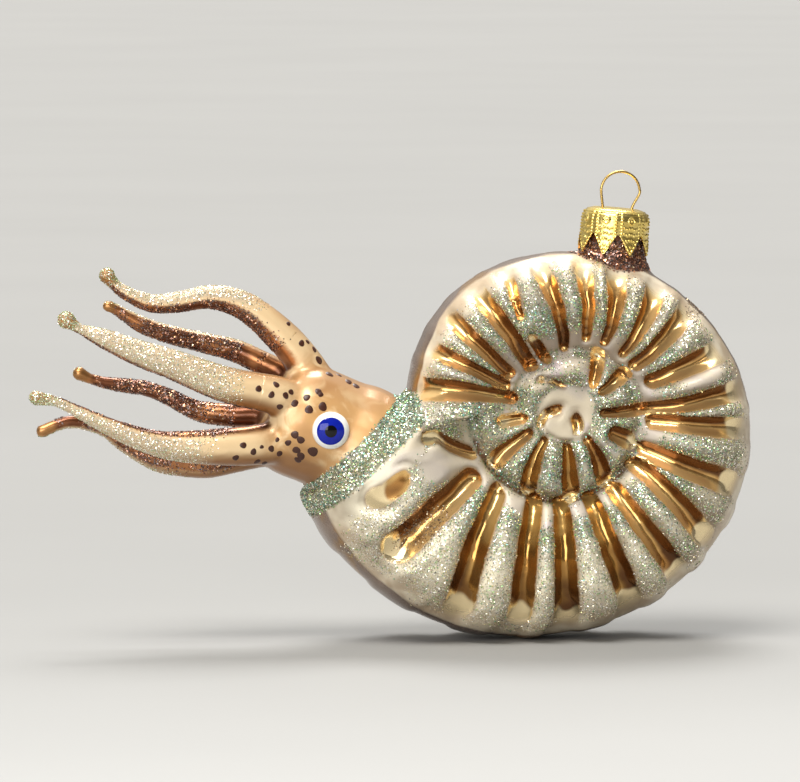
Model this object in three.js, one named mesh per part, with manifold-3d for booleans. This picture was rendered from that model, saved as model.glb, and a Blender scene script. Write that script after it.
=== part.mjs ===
// Blown glass hanging ornament: a coiled, ribbed ammonite shell with a squid-like head,
// six tentacles, two glued glass eyes, a crown cap and a wire loop.
// Millimetres, +Z up. The origin is the inside top of the wire loop, where the ornament hangs.
// The coil lies in the XZ plane, with the head on the -X side, and Y is the shell's thickness.
import * as THREE from 'three';
import { mergeVertices } from 'three/addons/utils/BufferGeometryUtils.js';
import Module from 'manifold-3d';

const wasm = await Module();
wasm.setup();

// ---------------------------------------------------------------- driving dimensions
const GAP = 0.3;                       // clearance between touching glass pieces

const COIL = { x: -12.0, z: -45.5 };   // axis of the coil, parallel to Y
// Outline radius of the coil by angle (0 = towards -X, 90 = up), growing towards the head.
const OUTLINE = [[0, 29.6], [45, 30.4], [90, 30.4], [135, 32.4], [180, 36.9], [225, 40.3],
  [270, 43.4], [315, 49.2], [345, 52.8]];
const SEAM = { first: 10.0, last: 18.6 };          // radius where the outer whorl meets the inner
const HALF_DEPTH = { first: 12.6, last: 16.4 };    // half thickness of the outer whorl
const COLLAR = { top: [-42.8, -42.9], bottom: [-61.6, -60.8], from: 342.5, to: 7.5 };

const RIBS = { count: 22, first: 3.0, step: 13.9, growth: 0.08, relief: 2.3 };
const INNER_RIBS = { step: 29, relief: 1.0 };

// Head sections: centre x, z; axis angle above -X in degrees; half width and half depth.
const HEAD = [
  [-44.5, -60.0, 62, 13.0, 13.8],
  [-48.4, -56.2, 54, 13.2, 13.6],
  [-51.6, -52.2, 47, 12.7, 12.8],
  [-55.0, -50.0, 42, 11.2, 11.7],
  [-59.0, -48.2, 38, 11.1, 11.5],
  [-63.2, -46.5, 33, 11.3, 11.0],
  [-66.2, -45.0, 30, 9.8, 9.6],
  [-67.8, -44.2, 30, 6.6, 6.4],
];
const EYE = { x: -57.7, z: -48.1, r: 3.55, base: 10.8, top: 13.7 };

// Tentacle centre lines, root to tip: x, y, z, radius. "fork" is the point where each one
// leaves the fused root; the tip is the last point.
const TENTACLES = {
  tentacle_top: { fork: 2, path: [[-57.9, 0, -41.5, 3.8], [-61.2, 0, -36.3, 3.65],
    [-64.9, 0, -31.6, 3.36], [-69.5, 0, -27.3, 2.98], [-73.8, 0, -24.5, 2.64], [-79.2, 0, -23.2, 2.3],
    [-85.8, 0, -24.1, 1.98], [-90.6, 0, -24.3, 1.73], [-95.3, 0, -22.5, 1.44],
    [-97.8, 0, -20.7, 1.15], [-99.3, 0, -18.9, 1.5]] },
  tentacle_far_upper: { fork: 2, path: [[-60.6, 4, -41.8, 2.7], [-64.4, 6, -38.7, 2.6],
    [-68.5, 7, -36.5, 2.4], [-73.4, 8, -34.2, 2.2], [-79.4, 8, -32.6, 1.97], [-87, 8, -30.7, 1.77],
    [-91.8, 8, -28.9, 1.6], [-96.3, 8, -26.2, 1.1], [-98.2, 8, -25.3, 1.15]] },
  tentacle_near_upper: { fork: 2, path: [[-62.7, -4, -44.6, 4.0], [-66.9, -6.5, -41.9, 3.9],
    [-71.5, -7.5, -40.7, 3.65], [-77.9, -8.5, -39.2, 3.4], [-87.1, -9, -35.6, 2.88],
    [-94.2, -9, -33.1, 2.46], [-101.2, -9, -30.1, 1.8], [-105.5, -9, -28.3, 0.98],
    [-108, -9, -26.7, 1.65]] },
  tentacle_far_lower: { fork: 2, path: [[-64.5, 4, -47.2, 2.9], [-68.7, 6, -46.3, 2.6],
    [-73.8, 7, -46.5, 2.4], [-79.4, 8, -46, 2.1], [-82.3, 8, -45.1, 1.85], [-87, 8.5, -42.7, 1.6],
    [-91.7, 9, -41.1, 1.5], [-96.4, 9, -40.5, 1.34], [-101, 9, -39.5, 1.06], [-103.7, 9, -38.3, 1.35]] },
  tentacle_near_lower: { fork: 2, path: [[-64.6, -4, -50.4, 4.2], [-70.4, -6, -51, 4.0],
    [-75.7, -7, -51.3, 3.74], [-81.7, -8, -51.3, 3.26], [-88.5, -8.5, -50.8, 2.7],
    [-94.4, -9, -49.3, 2.1], [-100.8, -9, -46.6, 1.63], [-105.7, -9, -44.2, 1.2],
    [-109.9, -9, -42.2, 1.0], [-113.8, -9, -41.4, 1.35]] },
  tentacle_bottom: { fork: 2, path: [[-65.7, 2, -52, 3.6], [-70.4, 3, -53, 3.45],
    [-75.2, 3, -54.2, 3.2], [-80.4, 3, -55.2, 3.05], [-87.8, 3, -54.7, 2.6], [-91.8, 3, -53.4, 2.1],
    [-95.5, 3, -51.4, 1.7], [-99.1, 3, -48.8, 1.45], [-102, 3, -47.7, 1.33], [-105.4, 3, -47, 1.3],
    [-108.6, 3, -47.6, 1.2], [-111.5, 3, -48.8, 1.25]] },
};

const CAP = { x: -0.75, z: -6.75, tilt: 5, sheet: 0.35, top: 4.4, shoulder: 6.45, skirt: 4.9, flare: 6.85,
  length: 8.8, teeth: 8, firstTooth: 20 };
const NECK = { clearance: 0.75, lip: 5.75, bore: 4.5, boreDepth: 11.5, foot: 9.0, depth: 17 };
const WIRE = { r: 0.28, loop: 3.72, left: -3.4, right: 2.2 };

// ---------------------------------------------------------------- materials
const finish = (color, roughness, metalness) => new THREE.MeshStandardMaterial({ color, roughness, metalness });
const GLASS = finish(0xb98a4e, 0.2, 0.6);
const TAN = finish(0xc89b66, 0.25, 0.4);
const EYE_WHITE = finish(0xf1efe9, 0.12, 0.0);
const GOLD = finish(0xe3ab35, 0.28, 1.0);
const WIRE_METAL = finish(0xc9a24e, 0.3, 1.0);

// ---------------------------------------------------------------- small tools
const rad = THREE.MathUtils.degToRad;
const mix = THREE.MathUtils.lerp;
const ease = THREE.MathUtils.smoothstep;
const range = (count) => [...Array(count).keys()];

// A solid from a geometry: only the positions are kept, so shared corners merge.
function solid(geometry) {
  const bare = new THREE.BufferGeometry();
  bare.setAttribute('position', geometry.getAttribute('position').clone());
  bare.setIndex(geometry.index ? geometry.index.clone() : null);
  const merged = mergeVertices(bare, 1e-4);
  return new wasm.Manifold(new wasm.Mesh({
    numProp: 3,
    vertProperties: Float32Array.from(merged.attributes.position.array),
    triVerts: Uint32Array.from(merged.index.array),
  }));
}

function geometryOf(manifold) {
  const { vertProperties, triVerts } = manifold.getMesh();
  const geometry = new THREE.BufferGeometry();
  geometry.setAttribute('position', new THREE.BufferAttribute(Float32Array.from(vertProperties), 3));
  geometry.setIndex(new THREE.BufferAttribute(Uint32Array.from(triVerts), 1));
  geometry.computeVertexNormals();
  return geometry;
}

// A closed skin over a row of rings with the same number of points, with a point at each end.
function skin(first, rings, last) {
  const n = rings[0].length;
  const points = [first, ...rings.flat(), last];
  const end = points.length - 1;
  const index = [];
  for (const i of range(n)) {
    const j = (i + 1) % n;
    index.push(0, 1 + i, 1 + j);
    for (const k of range(rings.length - 1)) {
      const a = 1 + k * n;
      const b = a + n;
      index.push(a + i, b + i, b + j, a + i, b + j, a + j);
    }
    const a = 1 + (rings.length - 1) * n;
    index.push(a + i, end, a + j);
  }
  if (volumeOf(points, index) < 0) {
    index.reverse();
  }
  const geometry = new THREE.BufferGeometry().setFromPoints(points);
  geometry.setIndex(index);
  return geometry;
}

function volumeOf(points, index) {
  const cross = new THREE.Vector3();
  let sum = 0;
  for (let i = 0; i < index.length; i += 3) {
    cross.crossVectors(points[index[i + 1]], points[index[i + 2]]);
    sum += points[index[i]].dot(cross);
  }
  return sum;
}

// Smooth value through [angle, value] pairs.
function alongTable(table, angle) {
  const curve = new THREE.SplineCurve(table.map(([a, v]) => new THREE.Vector2(a, v)));
  const k = table.findIndex(([a], i) => i === table.length - 2 || angle < table[i + 1][0]);
  const part = (angle - table[k][0]) / (table[k + 1][0] - table[k][0]);
  return curve.getPoint((k + part) / (table.length - 1)).y;
}

// ---------------------------------------------------------------- shell
const ribAngle = (i) => RIBS.first + RIBS.step * i + RIBS.growth * i * i;
const seamRadius = (angle) => mix(SEAM.first, SEAM.last, angle / 345);
const halfDepth = (angle) => mix(HALF_DEPTH.first, HALF_DEPTH.last, angle / 345);

// Where a ray from the coil's axis meets the straight collar, on which the head stands.
function collarRadius(angle) {
  const [ax, az] = COLLAR.top;
  const [bx, bz] = COLLAR.bottom;
  const nx = az - bz;
  const nz = bx - ax;
  const reach = (ax - COIL.x) * nx + (az - COIL.z) * nz;
  return reach / (-Math.cos(rad(angle)) * nx + Math.sin(rad(angle)) * nz);
}

function outlineRadius(angle) {
  const atCollar = angle > COLLAR.from || angle < COLLAR.to;
  return atCollar ? collarRadius(angle) : alongTable(OUTLINE, angle);
}

// Columns of the shell's skin: four to a rib, two on its crest and two in the groove after it.
function shellColumns() {
  const columns = [];
  for (const i of range(RIBS.count - 1)) {
    const pitch = ribAngle(i + 1) - ribAngle(i);
    columns.push([ribAngle(i) - 0.2 * pitch, 0], [ribAngle(i) + 0.2 * pitch, 0]);
    columns.push([ribAngle(i) + 0.38 * pitch, 1], [ribAngle(i) + 0.62 * pitch, 1]);
  }
  const last = ribAngle(RIBS.count - 1);
  const collar = range(7).map((k) => [mix(last, 359.5, k / 7), 0]);
  return [...columns, ...collar].map(([angle, groove]) => [(angle + 360) % 360, groove])
    .sort((a, b) => a[0] - b[0]);
}

// Half thickness without ribs at a share s of the way from the axis to the seam (up to 1),
// then at 1 + t, with t the share of the way from the seam to the rim.
function smoothDepth(angle, s) {
  const seamDepth = 0.7 * halfDepth(angle);
  if (s <= 1) {
    return mix(10.6, seamDepth, s * s) + 1.5 * Math.sin(Math.PI * s) * s;
  }
  const t = s - 1;
  const crown = 0.45;
  if (t < crown) {
    return mix(halfDepth(angle), seamDepth, ((crown - t) / crown) ** 2);
  }
  return halfDepth(angle) * (1 - ((t - crown) / (1 - crown)) ** 2.5) ** 0.45;
}

function shellPoint(angle, groove, s, side) {
  const seam = seamRadius(angle);
  const r = s <= 1 ? s * seam : mix(seam, outlineRadius(angle), s - 1);
  const outer = RIBS.relief * groove * ease(s, 1.02, 1.2) * (1 - ease(s, 1.84, 1.94));
  const wave = 0.5 - 0.5 * Math.cos((2 * Math.PI * angle) / INNER_RIBS.step);
  const inner = INNER_RIBS.relief * wave * ease(s, 0.3, 0.6) * (1 - ease(s, 0.9, 1.0));
  const depth = Math.max(smoothDepth(angle, s) - outer - inner, 0);
  return new THREE.Vector3(COIL.x - r * Math.cos(rad(angle)), side * depth, COIL.z + r * Math.sin(rad(angle)));
}

function shell() {
  const columns = shellColumns();
  const stops = [0.35, 0.65, 0.86, 1.0, 1.1, 1.25, 1.45, 1.65, 1.8, 1.9, 1.97];
  const ring = (s, side) => columns.map(([angle, groove]) => shellPoint(angle, groove, s, side));
  const near = stops.map((s) => ring(s, -1));
  const far = stops.map((s) => ring(s, 1)).reverse();
  return skin(shellPoint(0, 0, 0, -1), [...near, ring(2, 1), ...far], shellPoint(0, 0, 0, 1));
}

// ---------------------------------------------------------------- head, neck and tentacles
// The head's skin, grown by "extra" so that an eye can be cut to sit on it.
function head(extra) {
  const sides = 18;
  const ring = ([x, z, angle, width, depth]) => range(sides).map((i) => {
    const turn = (2 * Math.PI * i) / sides;
    const across = (width + extra) * Math.cos(turn);
    const along = (depth + extra) * Math.sin(turn);
    return new THREE.Vector3(x + across * Math.sin(rad(angle)), along, z + across * Math.cos(rad(angle)));
  });
  const ends = [HEAD[0], HEAD[HEAD.length - 1]].map(([x, z]) => new THREE.Vector3(x, 0, z));
  return skin(ends[0], HEAD.map(ring), ends[1]);
}

// Parts of revolution on the cap's leaning axis: [radius, height above the cap's top].
function onCapAxis(profile, segments) {
  const geometry = new THREE.LatheGeometry(profile.map(([r, h]) => new THREE.Vector2(r, h)), segments);
  return toCapAxis(geometry.rotateX(Math.PI / 2));
}

function toCapAxis(geometry) {
  return geometry.rotateY(rad(CAP.tilt)).translate(CAP.x, 0, CAP.z);
}

function neck() {
  const top = -NECK.clearance;
  return onCapAxis([[0, -NECK.depth], [NECK.foot, -NECK.depth], [7.7, -12.4], [6.5, -10], [NECK.lip, -7.8],
    [NECK.lip, top - 0.4], [NECK.lip - 0.4, top], [0, top]], 24);
}

function neckBore() {
  return onCapAxis([[0, -NECK.boreDepth], [NECK.bore, -NECK.boreDepth], [NECK.bore, 1], [0, 1]], 20);
}

const centreLine = (path) => new THREE.CatmullRomCurve3(path.map(([x, y, z]) => new THREE.Vector3(x, y, z)));

// A round tapering tube with 8 sides along a path's points, from share "from" to share "to".
// The end at share 1 is a rounded tip.
function tentacleTube(path, from, to, steps) {
  const sides = 8;
  const line = centreLine(path);
  const side = new THREE.Vector3(0, 1, 0);
  const rounded = to === 1;
  const shares = range(steps + 1).map((k) => mix(from, to, k / steps));
  const radiusAt = (share) => alongTable(path.map((point, i) => [i / (path.length - 1), point[3]]), share);
  const rings = shares.map((share) => {
    const tangent = line.getTangent(share);
    const u = new THREE.Vector3().crossVectors(side, tangent).normalize();
    const v = new THREE.Vector3().crossVectors(tangent, u);
    const centre = line.getPoint(share);
    return range(sides).map((i) => {
      const turn = (2 * Math.PI * i) / sides;
      return centre.clone().addScaledVector(u, radiusAt(share) * Math.cos(turn))
        .addScaledVector(v, radiusAt(share) * Math.sin(turn));
    });
  });
  if (rounded) {
    const last = rings[rings.length - 1];
    const centre = line.getPoint(1).addScaledVector(line.getTangent(1), 0.55 * radiusAt(1));
    rings.push(last.map((point) => point.clone().sub(line.getPoint(1)).multiplyScalar(0.72).add(centre)));
  }
  const tip = line.getPoint(to).addScaledVector(line.getTangent(to), rounded ? radiusAt(1) : 0);
  return skin(line.getPoint(from), rings, tip);
}

function stub({ path, fork }) {
  const share = fork / (path.length - 1);
  return tentacleTube(path, 0, share, 3);
}

function freeTentacle({ path, fork }) {
  const share = fork / (path.length - 1);
  const gapShare = GAP / centreLine(path).getLength();
  return tentacleTube(path, share + gapShare, 1, 2 * (path.length - 1 - fork));
}

function glassBody() {
  let body = solid(shell()).add(solid(head(0))).add(solid(neck()));
  for (const tentacle of Object.values(TENTACLES)) {
    body = body.add(solid(stub(tentacle)));
  }
  return geometryOf(body.subtract(solid(neckBore())));
}

// ---------------------------------------------------------------- eyes
function eye(side) {
  const rise = EYE.top - EYE.base;
  const profile = [[0, -2], [EYE.r * 0.97, -2], [EYE.r, 0.3 * rise]];
  for (const k of range(5)) {
    const turn = ((k + 1) * Math.PI) / 12;
    profile.push([EYE.r * Math.cos(turn), rise * (0.3 + 0.7 * Math.sin(turn))]);
  }
  profile.push([0, rise]);
  const points = profile.map(([r, h]) => new THREE.Vector2(r, h));
  const dome = new THREE.LatheGeometry(points, 20).translate(0, EYE.base, 0);
  dome.rotateZ(side > 0 ? 0 : Math.PI).translate(EYE.x, 0, EYE.z);
  return geometryOf(solid(dome).subtract(solid(head(GAP))));
}

// ---------------------------------------------------------------- cap and hanging wire
function cap() {
  const { top, shoulder, skirt, flare, length, sheet } = CAP;
  const outside = [[0, 0], [top, 0], [top + 1.2, -0.35], [shoulder - 0.2, -1.2], [shoulder, -2.2],
    [shoulder, -skirt], [flare, -length]];
  const inside = [[flare - sheet, -length], [shoulder - sheet, -skirt], [shoulder - sheet, -2.3],
    [shoulder - sheet - 0.2, -1.4], [top + 1.1, -0.7], [top - 0.1, -sheet], [0, -sheet]];
  let body = solid(onCapAxis([...outside, ...inside].reverse(), 32));
  const notch = new THREE.Shape([[-2.55, -length - 0.6], [2.55, -length - 0.6], [0.35, -skirt], [-0.35, -skirt]]
    .map(([x, y]) => new THREE.Vector2(x, y)));
  for (const i of range(CAP.teeth)) {
    const turn = CAP.firstTooth + ((i + 0.5) * 360) / CAP.teeth;
    const cutter = new THREE.ExtrudeGeometry(notch, { depth: 6, steps: 1, bevelEnabled: false });
    cutter.translate(0, 0, 3).rotateX(Math.PI / 2).rotateZ(rad(turn));
    body = body.subtract(solid(toCapAxis(cutter)));
  }
  for (const x of [WIRE.left, WIRE.right]) {
    const hole = new THREE.CylinderGeometry(WIRE.r + GAP, WIRE.r + GAP, 4, 12).rotateX(Math.PI / 2);
    body = body.subtract(solid(hole.translate(x, 0, CAP.z)));
  }
  return geometryOf(body);
}

// One bent wire: two legs that spring apart inside the neck, and the round hanging loop above.
function hangerWire() {
  const { r, loop, left, right } = WIRE;
  const centre = r - loop;
  const arc = range(13).map((k) => rad(190 - (k * 200) / 12))
    .map((turn) => [loop * Math.cos(turn), centre + loop * Math.sin(turn)]);
  const route = [[left + 1.0, -15], [left + 0.35, -11], [left, CAP.z], ...arc, [right, CAP.z - 0.25],
    [right - 0.35, -11], [right - 1.0, -15]];
  const path = new THREE.CatmullRomCurve3(route.map(([x, z]) => new THREE.Vector3(x, 0, z)));
  const section = new THREE.Shape(range(8).map((i) => new THREE.Vector2(
    r * Math.cos((i * Math.PI) / 4), r * Math.sin((i * Math.PI) / 4))));
  return new THREE.ExtrudeGeometry(section, { extrudePath: path, steps: 44, bevelEnabled: false });
}

// ---------------------------------------------------------------- the ornament
const ornament = new THREE.Group();

function addPart(name, geometry, material) {
  const mesh = new THREE.Mesh(geometry, material);
  mesh.name = name;
  ornament.add(mesh);
}

addPart('glass_body', glassBody(), GLASS);
for (const [name, tentacle] of Object.entries(TENTACLES)) {
  addPart(name, geometryOf(solid(freeTentacle(tentacle))), TAN);
}
addPart('eye_near', eye(-1), EYE_WHITE);
addPart('eye_far', eye(1), EYE_WHITE);
addPart('cap', cap(), GOLD);
addPart('hanger_wire', hangerWire(), WIRE_METAL);

export default ornament;
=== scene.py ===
"""A blown-glass ammonite hanging ornament: silvered glass, amber lacquer, frosted ribs and glitter."""
import math

import bmesh
import bpy
import numpy as np
from mathutils import Matrix, Vector
from mathutils.bvhtree import BVHTree


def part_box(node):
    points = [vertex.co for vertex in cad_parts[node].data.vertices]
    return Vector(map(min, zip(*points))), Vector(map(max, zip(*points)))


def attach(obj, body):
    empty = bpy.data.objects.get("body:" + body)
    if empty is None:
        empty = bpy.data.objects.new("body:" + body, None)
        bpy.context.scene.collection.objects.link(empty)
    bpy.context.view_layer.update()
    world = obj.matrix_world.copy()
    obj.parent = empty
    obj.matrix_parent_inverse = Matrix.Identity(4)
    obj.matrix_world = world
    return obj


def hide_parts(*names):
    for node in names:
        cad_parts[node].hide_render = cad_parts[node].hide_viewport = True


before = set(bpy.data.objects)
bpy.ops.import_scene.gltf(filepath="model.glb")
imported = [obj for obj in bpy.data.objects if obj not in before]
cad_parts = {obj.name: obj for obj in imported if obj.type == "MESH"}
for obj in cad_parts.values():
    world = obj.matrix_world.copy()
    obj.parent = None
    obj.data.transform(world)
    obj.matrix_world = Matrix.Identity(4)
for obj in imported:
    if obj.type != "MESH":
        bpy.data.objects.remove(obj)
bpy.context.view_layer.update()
MM = 0.001


# ---------------------------------------------------------------- measures of the ornament, in millimetres
COIL_X, COIL_Z = -12.0, -45.5
COIL_TURN = 345     # degrees of the outer whorl, from the head round to its foot at the collar
OUTLINE = [(0, 29.6), (45, 30.4), (90, 30.4), (135, 32.4), (180, 36.9), (225, 40.3), (270, 43.4),
           (315, 49.2), (345, 52.8)]
SEAM = (10.0, 18.6)
HALF_DEPTH = (12.6, 16.4)
# Where the keel's colour begins, as a share of the outline's radius.
KEEL_EDGE = [(0, 0.95), (25, 0.965), (50, 0.984), (110, 0.986), (150, 0.972), (200, 0.975), (250, 0.982),
             (300, 0.966), (345, 0.945)]
COLLAR_TOP = (-42.8, -42.9)
COLLAR_BOTTOM = (-61.6, -60.8)
COLLAR_SPAN = (342.5, 7.5)
COLLAR_BACK = (-4.6, -3.9)      # where the collar's band begins, behind its line
MOUTH = (-66, 0, -45)
NECK_X, NECK_FOOT_X = -1.9, -1.6

# Centre line of the head, from inside the coil to the mouth: x, y, z, radius.
HEAD = [(-44.5, 0, -60.0, 13.2), (-48.4, 0, -56.2, 13.3), (-51.6, 0, -52.2, 12.7), (-55.0, 0, -50.0, 11.3),
        (-59.0, 0, -48.2, 11.2), (-63.2, 0, -46.5, 11.1), (-66.2, 0, -45.0, 9.6), (-67.8, 0, -44.2, 6.5)]
FORK = 2            # the spans of each tentacle that stay with the head
PER_SPAN = 8        # steps in each span when points are matched to a tentacle
TIP_SPAN = (0.86, 0.93)
TENTACLES = {
    "tentacle_top": [(-57.9, 0, -41.5, 3.8), (-61.2, 0, -36.3, 3.65), (-64.9, 0, -31.6, 3.36),
                     (-69.5, 0, -27.3, 2.98), (-73.8, 0, -24.5, 2.64), (-79.2, 0, -23.2, 2.3),
                     (-85.8, 0, -24.1, 1.98), (-90.6, 0, -24.3, 1.73), (-95.3, 0, -22.5, 1.44),
                     (-97.8, 0, -20.7, 1.15), (-99.3, 0, -18.9, 1.5)],
    "tentacle_far_upper": [(-60.6, 4, -41.8, 2.7), (-64.4, 6, -38.7, 2.6), (-68.5, 7, -36.5, 2.4),
                           (-73.4, 8, -34.2, 2.2), (-79.4, 8, -32.6, 1.97), (-87, 8, -30.7, 1.77),
                           (-91.8, 8, -28.9, 1.6), (-96.3, 8, -26.2, 1.1), (-98.2, 8, -25.3, 1.15)],
    "tentacle_near_upper": [(-62.7, -4, -44.6, 4.0), (-66.9, -6.5, -41.9, 3.9), (-71.5, -7.5, -40.7, 3.65),
                            (-77.9, -8.5, -39.2, 3.4), (-87.1, -9, -35.6, 2.88), (-94.2, -9, -33.1, 2.46),
                            (-101.2, -9, -30.1, 1.8), (-105.5, -9, -28.3, 0.98), (-108, -9, -26.7, 1.65)],
    "tentacle_far_lower": [(-64.5, 4, -47.2, 2.9), (-68.7, 6, -46.3, 2.6), (-73.8, 7, -46.5, 2.4),
                           (-79.4, 8, -46, 2.1), (-82.3, 8, -45.1, 1.85), (-87, 8.5, -42.7, 1.6),
                           (-91.7, 9, -41.1, 1.5), (-96.4, 9, -40.5, 1.34), (-101, 9, -39.5, 1.06),
                           (-103.7, 9, -38.3, 1.35)],
    "tentacle_near_lower": [(-64.6, -4, -50.4, 4.2), (-70.4, -6, -51, 4.0), (-75.7, -7, -51.3, 3.74),
                            (-81.7, -8, -51.3, 3.26), (-88.5, -8.5, -50.8, 2.7), (-94.4, -9, -49.3, 2.1),
                            (-100.8, -9, -46.6, 1.63), (-105.7, -9, -44.2, 1.2), (-109.9, -9, -42.2, 1.0),
                            (-113.8, -9, -41.4, 1.35)],
    "tentacle_bottom": [(-65.7, 2, -52, 3.6), (-70.4, 3, -53, 3.45), (-75.2, 3, -54.2, 3.2),
                        (-80.4, 3, -55.2, 3.05), (-87.8, 3, -54.7, 2.6), (-91.8, 3, -53.4, 2.1),
                        (-95.5, 3, -51.4, 1.7), (-99.1, 3, -48.8, 1.45), (-102, 3, -47.7, 1.33),
                        (-105.4, 3, -47, 1.3), (-108.6, 3, -47.6, 1.2), (-111.5, 3, -48.8, 1.25)],
}
CAP_X, CAP_Z, CAP_TILT = -0.75, -6.75, math.radians(5)
NECK_LIP, NECK_BORE = 5.75, 4.5

# Grooves between the ribs, seen in polar form about the coil's axis (0 degrees points to the head, 90 up).
# Each row: angle and radius of the outer end, angle and radius of the inner end, half width at each end.
GROOVES = [
    (10, 28.6, 17, 9.7, 2.2, 1.1), (25.7, 28.8, 25.5, 11.7, 1.5, 1.0), (40, 29.4, 35, 12.6, 1.5, 1.1),
    (53.5, 28.6, 54, 10.3, 1.7, 1.4), (67, 28.2, 63, 20.6, 0.9, 0.7), (64, 16.2, 71, 10.4, 1.0, 1.0),
    (80, 27.4, 88.5, 12.0, 1.6, 0.8), (96.5, 27.2, 104, 14.0, 1.6, 0.7), (110, 27.2, 118, 14.6, 2.0, 0.7),
    (126, 28.8, 133, 15.3, 2.1, 0.8), (140, 29.2, 144.7, 15.0, 1.9, 1.3), (158, 30.4, 159, 16.0, 1.9, 1.5),
    (173, 31.8, 179.5, 6.6, 1.9, 0.8), (185, 31.8, 185.3, 15.0, 1.9, 1.5),
    (203.4, 33.2, 205.7, 15.0, 2.3, 1.7), (221.5, 34.2, 216, 15.2, 2.1, 1.6),
    (235, 36.2, 238.3, 15.6, 2.2, 1.5), (251.5, 36.6, 254.5, 15.4, 2.2, 1.4),
    (270.5, 38.2, 273.8, 15.6, 2.3, 1.5), (284, 38.2, 291.5, 16.4, 2.2, 1.6),
    (300.5, 41.2, 313.8, 18.4, 2.7, 1.7), (323, 41.3, 328, 20.4, 3.0, 2.0), (338, 39.0, 341, 33.4, 1.9, 1.5),
    (352, 26.0, 337, 19.4, 1.3, 1.3), (359, 30.2, 351.5, 27.4, 0.8, 0.7),
    (327, 17.4, 335.5, 7.4, 1.9, 0.9), (297, 16.8, 312, 6.2, 1.9, 0.8), (267, 16.2, 269, 5.8, 1.9, 0.8),
    (241, 15.6, 231, 6.0, 1.9, 0.8), (203, 14.2, 203, 8.6, 1.9, 1.3), (146, 14.0, 147, 7.0, 1.5, 0.8),
    (118, 13.2, 132, 6.6, 1.6, 0.9), (354, 12.8, 356, 7.8, 1.3, 1.0), (52, 8.0, 84, 5.2, 0.8, 0.7),
    (340, 5.4, 394, 1.4, 1.1, 0.9), (236, 4.2, 203, 1.4, 1.2, 0.9),
]


# ---------------------------------------------------------------- small tools
def deselect_all():
    if bpy.context.object and bpy.context.object.mode != "OBJECT":
        bpy.ops.object.mode_set(mode="OBJECT")
    bpy.ops.object.select_all(action="DESELECT")


def only(piece):
    deselect_all()
    piece.select_set(True)
    bpy.context.view_layer.objects.active = piece


def apply_place(piece):
    """Puts a piece's place, turn and scale into its points."""
    only(piece)
    bpy.ops.object.transform_apply(location=True, rotation=True, scale=True)


def face_outwards(piece):
    only(piece)
    bpy.ops.object.mode_set(mode="EDIT")
    bpy.ops.mesh.select_all(action="SELECT")
    bpy.ops.mesh.normals_make_consistent(inside=False)
    bpy.ops.object.mode_set(mode="OBJECT")


def finish_modifiers(piece):
    only(piece)
    for modifier in list(piece.modifiers):
        bpy.ops.object.modifier_apply(modifier=modifier.name)


def settle(piece, name, angle=60):
    """Names a finished piece, puts its place into its mesh and smooths it up to an angle."""
    apply_place(piece)
    piece.name = name
    piece.data.name = name
    bpy.ops.object.shade_smooth_by_angle(angle=math.radians(angle))
    return piece


def link(name, data):
    """A new object in the scene for a mesh, a curve, a lamp or a camera."""
    piece = bpy.data.objects.new(name, data)
    bpy.context.scene.collection.objects.link(piece)
    return piece


def mesh_piece(name, points, faces):
    mesh = bpy.data.meshes.new(name)
    mesh.from_pydata(points, [], faces)
    mesh.update()
    return link(name, mesh)


def read_rows(items, key, kind=np.float32):
    """Three numbers for each item of a mesh, one row to an item."""
    flat = np.empty(len(items) * 3, dtype=kind)
    items.foreach_get(key, flat)
    return flat.reshape(-1, 3)


def points_of(piece):
    return read_rows(piece.data.vertices, "co").astype(np.float64)


def normals_of(piece):
    return read_rows(piece.data.vertex_normals, "vector").astype(np.float64)


def triangles_of(piece):
    piece.data.calc_loop_triangles()
    return read_rows(piece.data.loop_triangles, "vertices", np.int32)


def move_points(piece, points):
    piece.data.vertices.foreach_set("co", points.astype(np.float32).ravel())
    piece.data.update()


def give_attribute(piece, name, values):
    layer = piece.data.attributes.new(name, "FLOAT", "POINT")
    layer.data.foreach_set("value", values.astype(np.float32))


def read_attribute(piece, name):
    values = np.empty(len(piece.data.vertices), dtype=np.float32)
    piece.data.attributes[name].data.foreach_get("value", values)
    return values


def mix(a, b, share):
    return a + (b - a) * share


def ease(low, high, value):
    share = np.clip((value - low) / (high - low), 0, 1)
    return share * share * (3 - 2 * share)


def catmull(p0, p1, p2, p3, t):
    return 0.5 * (2 * p1 + (p2 - p0) * t + (2 * p0 - 5 * p1 + 4 * p2 - p3) * t ** 2
                  + (3 * p1 - p0 - 3 * p2 + p3) * t ** 3)


def along_table(table, angle):
    """A smooth value through (angle, value) pairs."""
    stops = np.array([pair[0] for pair in table], dtype=float)
    values = np.array([pair[1] for pair in table], dtype=float)
    k = np.clip(np.searchsorted(stops, angle, side="right") - 1, 0, len(stops) - 2)
    t = (angle - stops[k]) / (stops[k + 1] - stops[k])
    last = len(stops) - 1
    return catmull(values[np.maximum(k - 1, 0)], values[k], values[k + 1], values[np.minimum(k + 2, last)], t)


def centre_line(path, per_span=10):
    """Points and radii along a smooth line through a path's points."""
    path = np.array(path, dtype=float)
    padded = np.vstack([2 * path[0] - path[1], path, 2 * path[-1] - path[-2]])
    rows = [catmull(*padded[k:k + 4], t) for k in range(len(path) - 1)
            for t in np.arange(per_span) / per_span]
    return np.array(rows + [path[-1]])


def noise_wave(points, scale, seed):
    """A cheap smooth wobble between -1 and 1, from a few crossed sine waves."""
    rng = np.random.default_rng(seed)
    total = np.zeros(len(points))
    for _ in range(5):
        direction = rng.normal(size=3)
        direction /= np.linalg.norm(direction)
        pace = 2 * math.pi / scale * rng.uniform(0.6, 1.5)
        total += np.sin(points @ direction * pace + rng.uniform(0, 6.3))
    return total / 3.2


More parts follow.
